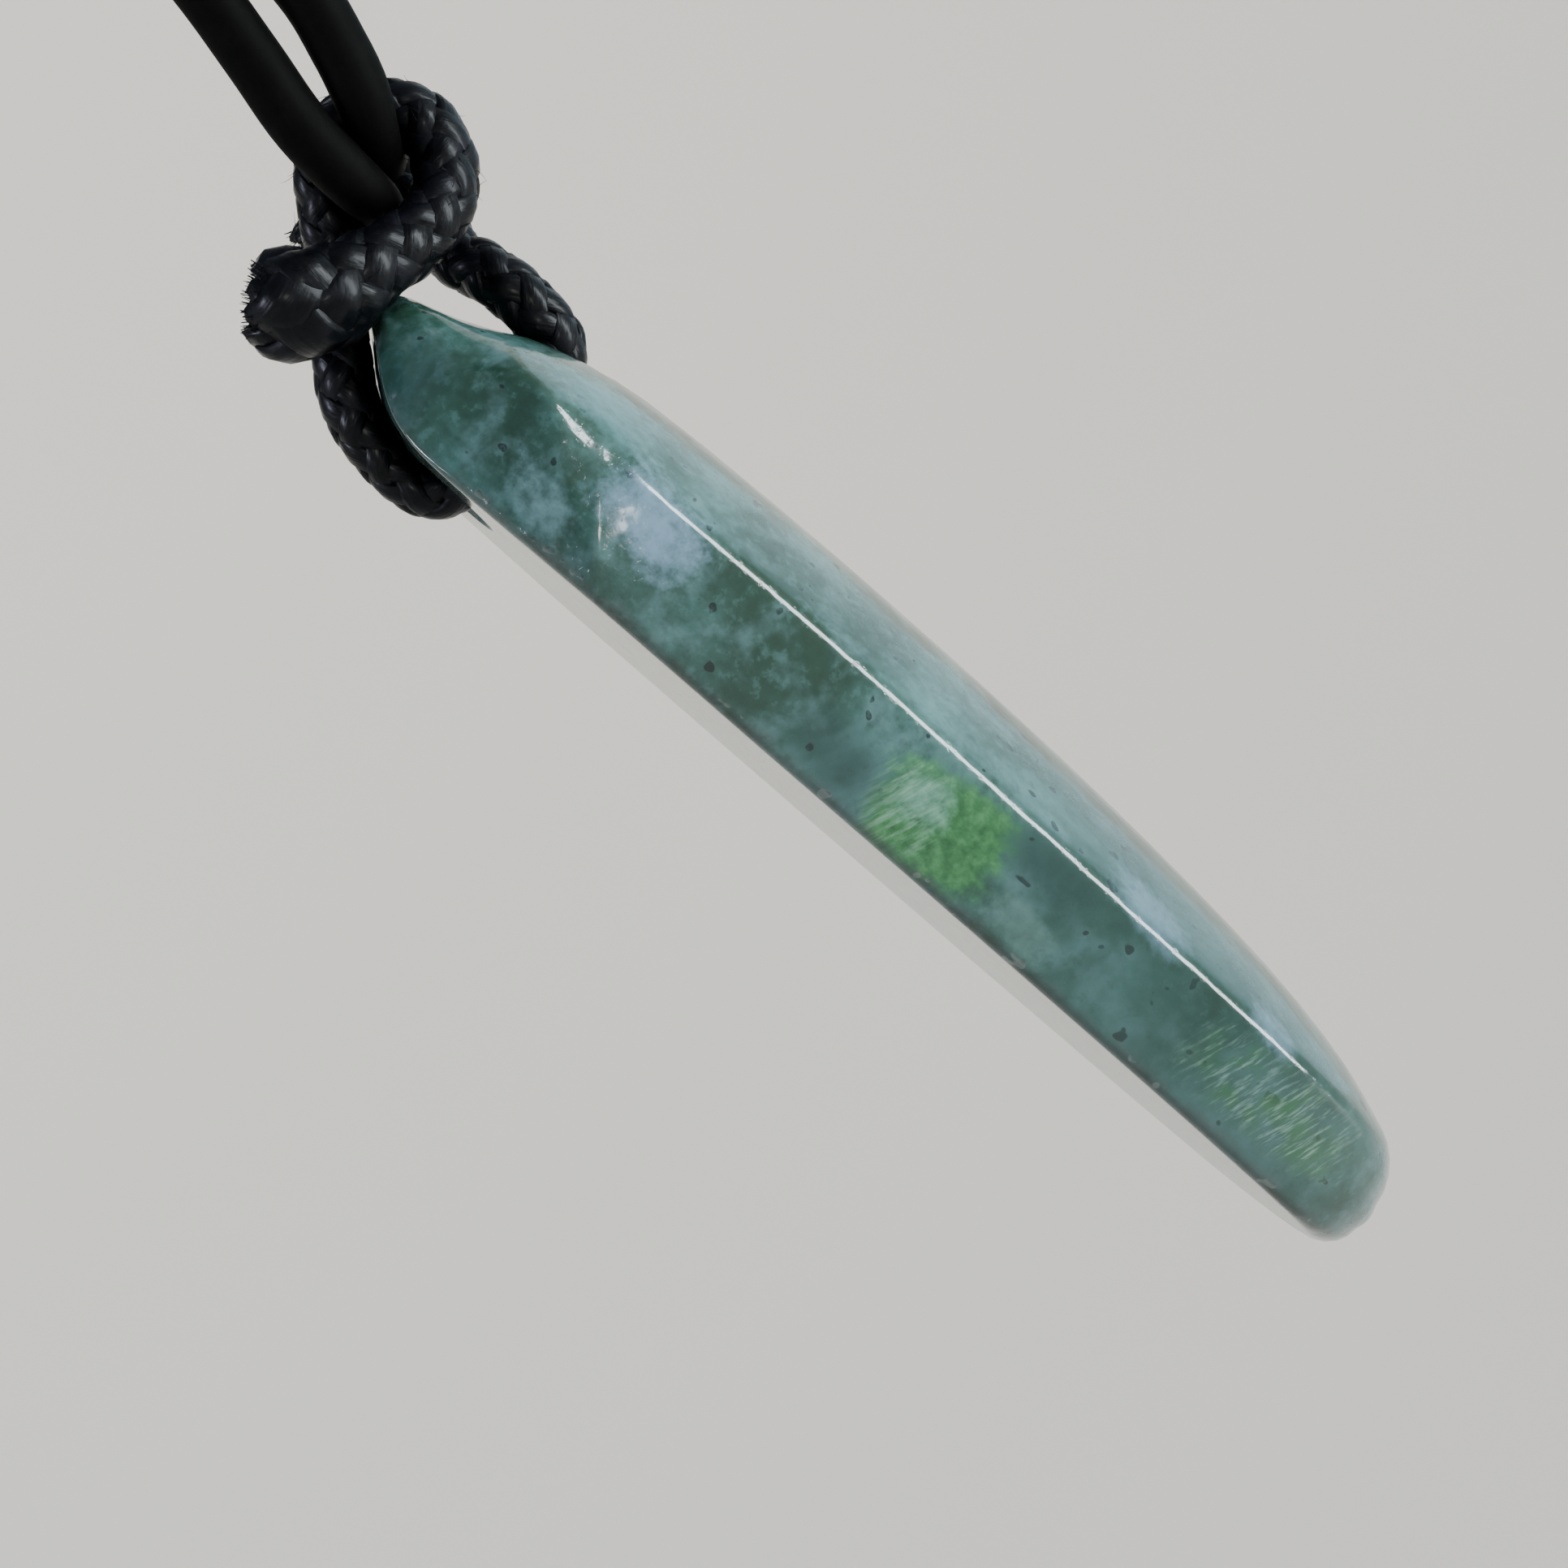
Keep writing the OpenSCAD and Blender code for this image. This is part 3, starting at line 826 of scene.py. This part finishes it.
def sweep(whole, matrices, sides, runs):
    """Extrudes a ring of vertices through a list of matrices, closes both ends and adds it to whole."""
    bm = cord_mesh()
    along = bm.verts.layers.float["along"]
    around = bm.verts.layers.float["around"]
    verts = bmesh.ops.create_circle(bm, segments=sides, radius=1, matrix=matrices[0])["verts"]
    for i, vert in enumerate(verts):
        vert[around] = i / sides
        vert[along] = runs[0]
    edges = list({e for v in verts for e in v.link_edges})
    bmesh.ops.contextual_create(bm, geom=edges)
    carried = matrices[0]
    for matrix, run in zip(matrices[1:], runs[1:]):
        made = bmesh.ops.extrude_edge_only(bm, edges=edges)["geom"]
        verts = [g for g in made if isinstance(g, bmesh.types.BMVert)]
        edges = [g for g in made if isinstance(g, bmesh.types.BMEdge) and g.is_boundary]
        bmesh.ops.transform(bm, matrix=matrix @ carried.inverted(), verts=verts)
        for vert in verts:
            vert[along] = run
        carried = matrix
    bmesh.ops.contextual_create(bm, geom=edges)
    part = bpy.data.meshes.new("part")
    bm.to_mesh(part)
    bm.free()
    whole.from_mesh(part)
    bpy.data.meshes.remove(part)


# %% [markdown]
# ## The braided bail
# The bail is a waxed polyester braid of eight strands: four wind one way and four the other, and
# they pass over and under each other in turn. Each strand is a flattened tube on a helix round the
# cord's line, and a wave in its distance from the line makes the weave. The real wax fills the
# strands into plump lobes that catch the light.

# %% Waxed braid: material
waxed, tree, shader = new_material(
    "waxed_polyester_braid", Roughness=0.36, Specular_IOR_Level=0.16, Coat_Weight=0.08, Coat_Roughness=0.16,
)
run = add(tree, "ShaderNodeAttribute", attribute_name="along").outputs["Fac"]
turn = add(tree, "ShaderNodeAttribute", attribute_name="around").outputs["Fac"]
fibre_place = add(tree, "ShaderNodeCombineXYZ", {"X": turn, "Y": run}).outputs["Vector"]
# Each strand has fibres about 0.03 mm thick; they are drawn three times as coarse to show.
fibre_map = add(
    tree, "ShaderNodeMapping", {"Vector": fibre_place, "Scale": (26, 1.6, 1)}
).outputs["Vector"]
fibres = add(
    tree, "ShaderNodeTexNoise", {"Vector": fibre_map, "Scale": 1, "Detail": 2}
).outputs["Fac"]
object_place = add(tree, "ShaderNodeTexCoord").outputs["Object"]
# The wax lies in patches of about 1 mm.
wax = add(
    tree, "ShaderNodeTexNoise",
    {"Vector": object_place, "Scale": 0.9 / MM, "Detail": 3, "Roughness": 0.6},
).outputs["Fac"]
tint = add(
    tree, "ShaderNodeValToRGB", {"Fac": wax},
    stops=[(0.35, "#030305"), (0.62, "#06060c"), (0.8, "#0e0d18")],
).outputs["Color"]
tree.links.new(tint, shader.inputs["Base Color"])
polish = add(
    tree, "ShaderNodeMapRange",
    {"Value": wax, "From Min": 0.3, "From Max": 0.7, "To Min": 0.28, "To Max": 0.5},
).outputs["Result"]
tree.links.new(polish, shader.inputs["Roughness"])
fibre_bump = add(
    tree, "ShaderNodeBump", {"Height": fibres, "Strength": 0.6, "Distance": 0.05 * MM}
).outputs["Normal"]
lumps = add(
    tree, "ShaderNodeBump", {"Height": wax, "Strength": 0.5, "Distance": 0.12 * MM, "Normal": fibre_bump}
).outputs["Normal"]
tree.links.new(lumps, shader.inputs["Normal"])

# %% Braided bail: eight strands and a core
# One turn of a strand takes up PITCH millimetres of the braid, and four strands turn each way.
# STRAND_WIDE and STRAND_THICK are half a strand's sizes, and WEAVE is how far it rises and falls.
PITCH = 6
STRANDS = 4
STRAND_WIDE = 0.56
STRAND_THICK = 0.27
STRAND_SIDES = 8
WEAVE = 0.065
CORE_SHARE = 0.86
CORE_SIDES = 16
line = stations(BAIL, 0.11)
bm = cord_mesh()
for sense in (1, -1):
    for strand in range(STRANDS):
        plump = dice.uniform(0.92, 1.06)
        spots = []
        for spot, direction, side, share, run_at in line:
            angle = sense * math.tau * (run_at / PITCH) + math.tau * strand / STRANDS
            over = sense * math.cos(math.tau * run_at / (PITCH / 4))
            out = math.cos(angle) * side + math.sin(angle) * direction.cross(side)
            mean = (BRAID_D / 2 - STRAND_THICK - WEAVE) * share
            spots.append((spot + out * (mean + WEAVE * over * share), out, share, run_at))
        matrices = []
        for i, (spot, out, share, run_at) in enumerate(spots):
            ahead = (spots[min(i + 1, len(spots) - 1)][0] - spots[max(i - 1, 0)][0]).normalized()
            facing = (out - ahead * out.dot(ahead)).normalized()
            matrices.append(station_matrix(
                spot, ahead, facing, STRAND_WIDE * plump * share, STRAND_THICK * share
            ))
        sweep(bm, matrices, STRAND_SIDES, [s[3] for s in spots])
# The core keeps the light out between the strands.
core = [station_matrix(spot, direction, side, CORE_SHARE * share, CORE_SHARE * share)
        for spot, direction, side, share, run_at in line[::3]]
sweep(bm, core, CORE_SIDES, [one[4] for one in line[::3]])
print("bail", round(line[-1][4], 1), "mm of braid")

# %% [markdown]
# Where the braid is cut, its fibres spread into a short brush: a full one at the open end in front
# and a thinner one at the tail. A few loose fibres stand off along the braid, but not where it is
# held against the stone. Each one is a thin tapered tube with three sides.


# %% Braided bail: brush at the cut end and loose fibres
def fibre_tube(root, towards, bend, long, thick):
    """Adds one bent fibre to the bail's mesh. Lengths are in millimetres."""
    rings = []
    for step in range(4):
        t = step / 3
        spot = root + towards * long * t + bend * long * t * t
        ahead = (towards + 2 * bend * t).normalized()
        side = ahead.orthogonal().normalized()
        rings.append(station_matrix(spot, ahead, side, thick * (1 - 0.7 * t), thick * (1 - 0.7 * t)))
    sweep(bm, rings, 3, [0, 0.1, 0.2, 0.3])


def any_way():
    """A random direction."""
    return Vector([dice.gauss(0, 1) for _ in range(3)]).normalized()


FRONT_BRUSH = 320
TAIL_BRUSH = 60
LOOSE_FIBRES = 170
LOOSE_THICK = 0.014
# In a brush, a fibre near the rim leans further out and is shorter than one in the middle.
for end, outwards, count in ((line[0], -1, FRONT_BRUSH), (line[-1], 1, TAIL_BRUSH)):
    spot, direction, side, share, run_at = end
    for _ in range(count):
        angle = dice.uniform(0, math.tau)
        far = math.sqrt(dice.random())
        out = math.cos(angle) * side + math.sin(angle) * direction.cross(side)
        root = spot + out * far * BRAID_D / 2 * share * 0.92 - direction * outwards * 0.15
        towards = (direction * outwards + out * far * 0.35 + any_way() * 0.22).normalized()
        long = dice.uniform(0.3, 0.75) * (1.2 - 0.4 * far)
        fibre_tube(root, towards, any_way() * 0.25, long, dice.uniform(0.03, 0.075))
away_from_stone = [one for one in line if one[0].z > 5.5]
for _ in range(LOOSE_FIBRES):
    spot, direction, side, share, run_at = dice.choice(away_from_stone)
    angle = dice.uniform(0, math.tau)
    out = math.cos(angle) * side + math.sin(angle) * direction.cross(side)
    towards = (direction * dice.choice((-1, 1)) + out * dice.uniform(0.3, 1.1)).normalized()
    root = spot + out * BRAID_D / 2 * share * 0.93
    fibre_tube(root, towards, any_way() * 0.35, dice.uniform(0.25, 0.6), LOOSE_THICK)
finish_piece("braided_strands", bm, "necklace", waxed, stands_for="braided_bail")

# %% [markdown]
# ## The neck cord
# The neck cord is a smooth, round cord of waxed cotton. Its fine nap makes it matt, and it looks a
# little brown against the glossier braid. It runs from one end of the clasp round to the knot,
# where the bail squeezes it, and back.

# %% Waxed cotton: material
cotton, tree, shader = new_material(
    "waxed_cotton_cord", Roughness=0.65, Specular_IOR_Level=0.06
)
object_place = add(tree, "ShaderNodeTexCoord").outputs["Object"]
# The real nap is about 0.1 mm and wouldn't show: it is drawn in tufts of about 0.7 mm.
nap = add(
    tree, "ShaderNodeTexNoise",
    {"Vector": object_place, "Scale": 1.4 / MM, "Detail": 4, "Roughness": 0.65},
).outputs["Fac"]
shade = add(
    tree, "ShaderNodeValToRGB", {"Fac": nap}, stops=[(0.3, "#030302"), (0.7, "#070605")]
).outputs["Color"]
tree.links.new(shade, shader.inputs["Base Color"])
nap_bump = add(
    tree, "ShaderNodeBump", {"Height": nap, "Strength": 0.35, "Distance": 0.04 * MM}
).outputs["Normal"]
tree.links.new(nap_bump, shader.inputs["Normal"])

# %% Neck cord
right_side = [(x, y, z, 1) for x, y, z in reversed(SIDE)]
left_side = [(-x, y, z, 1) for x, y, z in SIDE]
fine = stations(right_side + KNOT + left_side, 0.45)
# Above the knot the bends are gentle, so every fourth station is enough there.
KNOT_TOP = 30
line = [one for i, one in enumerate(fine) if one[0].z < KNOT_TOP or i % 4 == 0 or one is fine[-1]]
CORD_SIDES = 20
bm = cord_mesh()
loop = []
for spot, direction, side, share, run_at in line:
    # Inside the knot the cord narrows less than its solid: it swells against the braid around it.
    swollen = CORD_D / 2 * (0.55 + 0.45 * share)
    loop.append(station_matrix(spot, direction, side, swollen, swollen))
sweep(bm, loop, CORD_SIDES, [one[4] for one in line])
print("neck cord", round(line[-1][4], 1), "mm")
finish_piece("smooth_cord", bm, "necklace", cotton, stands_for="neck_cord")

# %% [markdown]
# ## The clasp
# A barrel clasp closes the loop at the nape. It is a small turned steel barrel with a softened
# edge at each end, so it is spun from its profile, and it lies along X with its lowest side on the
# wearer's neck. Fine brushed lines run round it and draw its highlight out along its length.

# %% Brushed steel and the barrel
steel, tree, shader = new_material("brushed_steel_barrel", Metallic=1, Roughness=0.3)
shader.inputs["Base Color"].default_value = linear("#b4b5b6")
object_place = add(tree, "ShaderNodeTexCoord").outputs["Object"]
# The brushed lines are about 0.08 mm wide and 2.5 mm long.
turned = add(
    tree, "ShaderNodeMapping", {"Vector": object_place, "Scale": (12 / MM, 0.4 / MM, 0.4 / MM)}
).outputs["Vector"]
lines = add(tree, "ShaderNodeTexNoise", {"Vector": turned, "Scale": 1, "Detail": 2}).outputs["Fac"]
rub = add(
    tree, "ShaderNodeMapRange", {"Value": lines, "To Min": 0.22, "To Max": 0.42}
).outputs["Result"]
tree.links.new(rub, shader.inputs["Roughness"])
fine_lines = add(
    tree, "ShaderNodeBump", {"Height": lines, "Strength": 0.2, "Distance": 0.01 * MM}
).outputs["Normal"]
tree.links.new(fine_lines, shader.inputs["Normal"])
bm = bmesh.new()
end = CLASP_LENGTH / 2
lathe(
    bm,
    [(0, -end), (CLASP_R - 0.5, -end), (CLASP_R - 0.15, -end + 0.12), (CLASP_R, -end + 0.5),
     (CLASP_R, end - 0.5), (CLASP_R - 0.15, end - 0.12), (CLASP_R - 0.5, end), (0, end)],
    Vector((0, 0, CLASP_R)) * MM, (1, 0, 0), 64,
)
finish_piece("turned_barrel", bm, "necklace", steel, stands_for="barrel_clasp", sharp=50)

# %% [markdown]
# ## Studio
# The stage is one seamless bowl: a flat floor that curves up into a wall, so no horizon line
# crosses the picture, in matt paper that shows a shadow but no shine. The key light is a tall,
# narrow soft panel in front of the stone, on the camera's side: the ridge between side and dome
# mirrors it as one thin white line. A window on the far side lights the dome. Two small panels
# serve the shoulder and the knot, and the last one lights the wall behind.

# %% Stage and lights
FLOOR = -0.85
# Radius and height of the bowl in millimetres, from the middle of the floor to the wall's top
wall = [(0, 0), (600, 0), (900, 20), (1150, 90), (1350, 230), (1470, 430), (1530, 680), (1550, 1600)]
paper, tree, shader = new_material("seamless_paper", Roughness=0.9)
shader.inputs["Base Color"].default_value = linear("#ece9e3")
bm = bmesh.new()
lathe(bm, wall, Vector((0, -0.05, FLOOR)), (0, 0, 1), 96)
bmesh.ops.reverse_faces(bm, faces=bm.faces)
floor = object_of("floor", bm, paper)
smoother = floor.modifiers.new("smooth", "SUBSURF")
smoother.levels = smoother.render_levels = 1

world = bpy.data.worlds.new("studio")
world.use_nodes = True
world.node_tree.nodes["Background"].inputs["Color"].default_value = linear("#d3e4f2")
world.node_tree.nodes["Background"].inputs["Strength"].default_value = 0.27
bpy.context.scene.world = world


def panel(name, spot, wide, tall, watts, colour, aim=place(0, 0, -15)):
    """A soft rectangular light that looks at the stone, or at another place."""
    lamp = new_object(name, bpy.data.lights.new(name, "AREA"))
    lamp.data.shape = "RECTANGLE"
    lamp.data.size = wide
    lamp.data.size_y = tall
    lamp.data.energy = watts
    lamp.data.color = linear(colour)[:3]
    away = Vector(spot) - aim
    lamp.matrix_world = Matrix.Translation(spot) @ away.to_track_quat("Z", "Y").to_matrix().to_4x4()


# Name, place in metres, width, height, watts, colour
panel("key", (-0.41, -0.8, -0.32), 0.2, 0.88, 13, "#effaff")
panel("shoulder", (-0.92, -0.15, 0.1), 0.2, 0.1, 0.9, "#ffffff")
panel("window", (0.45, -0.85, -0.2), 0.8, 0.8, 1.3, "#8edcff")
panel("knot", (-0.26, 0.5, 0.48), 0.25, 0.25, 5, "#e6e8ff")
panel("backdrop", (0.45, -0.1, 0.5), 0.8, 0.5, 9, "#fff8ee", aim=Vector((1.5, -0.05, -0.1)))
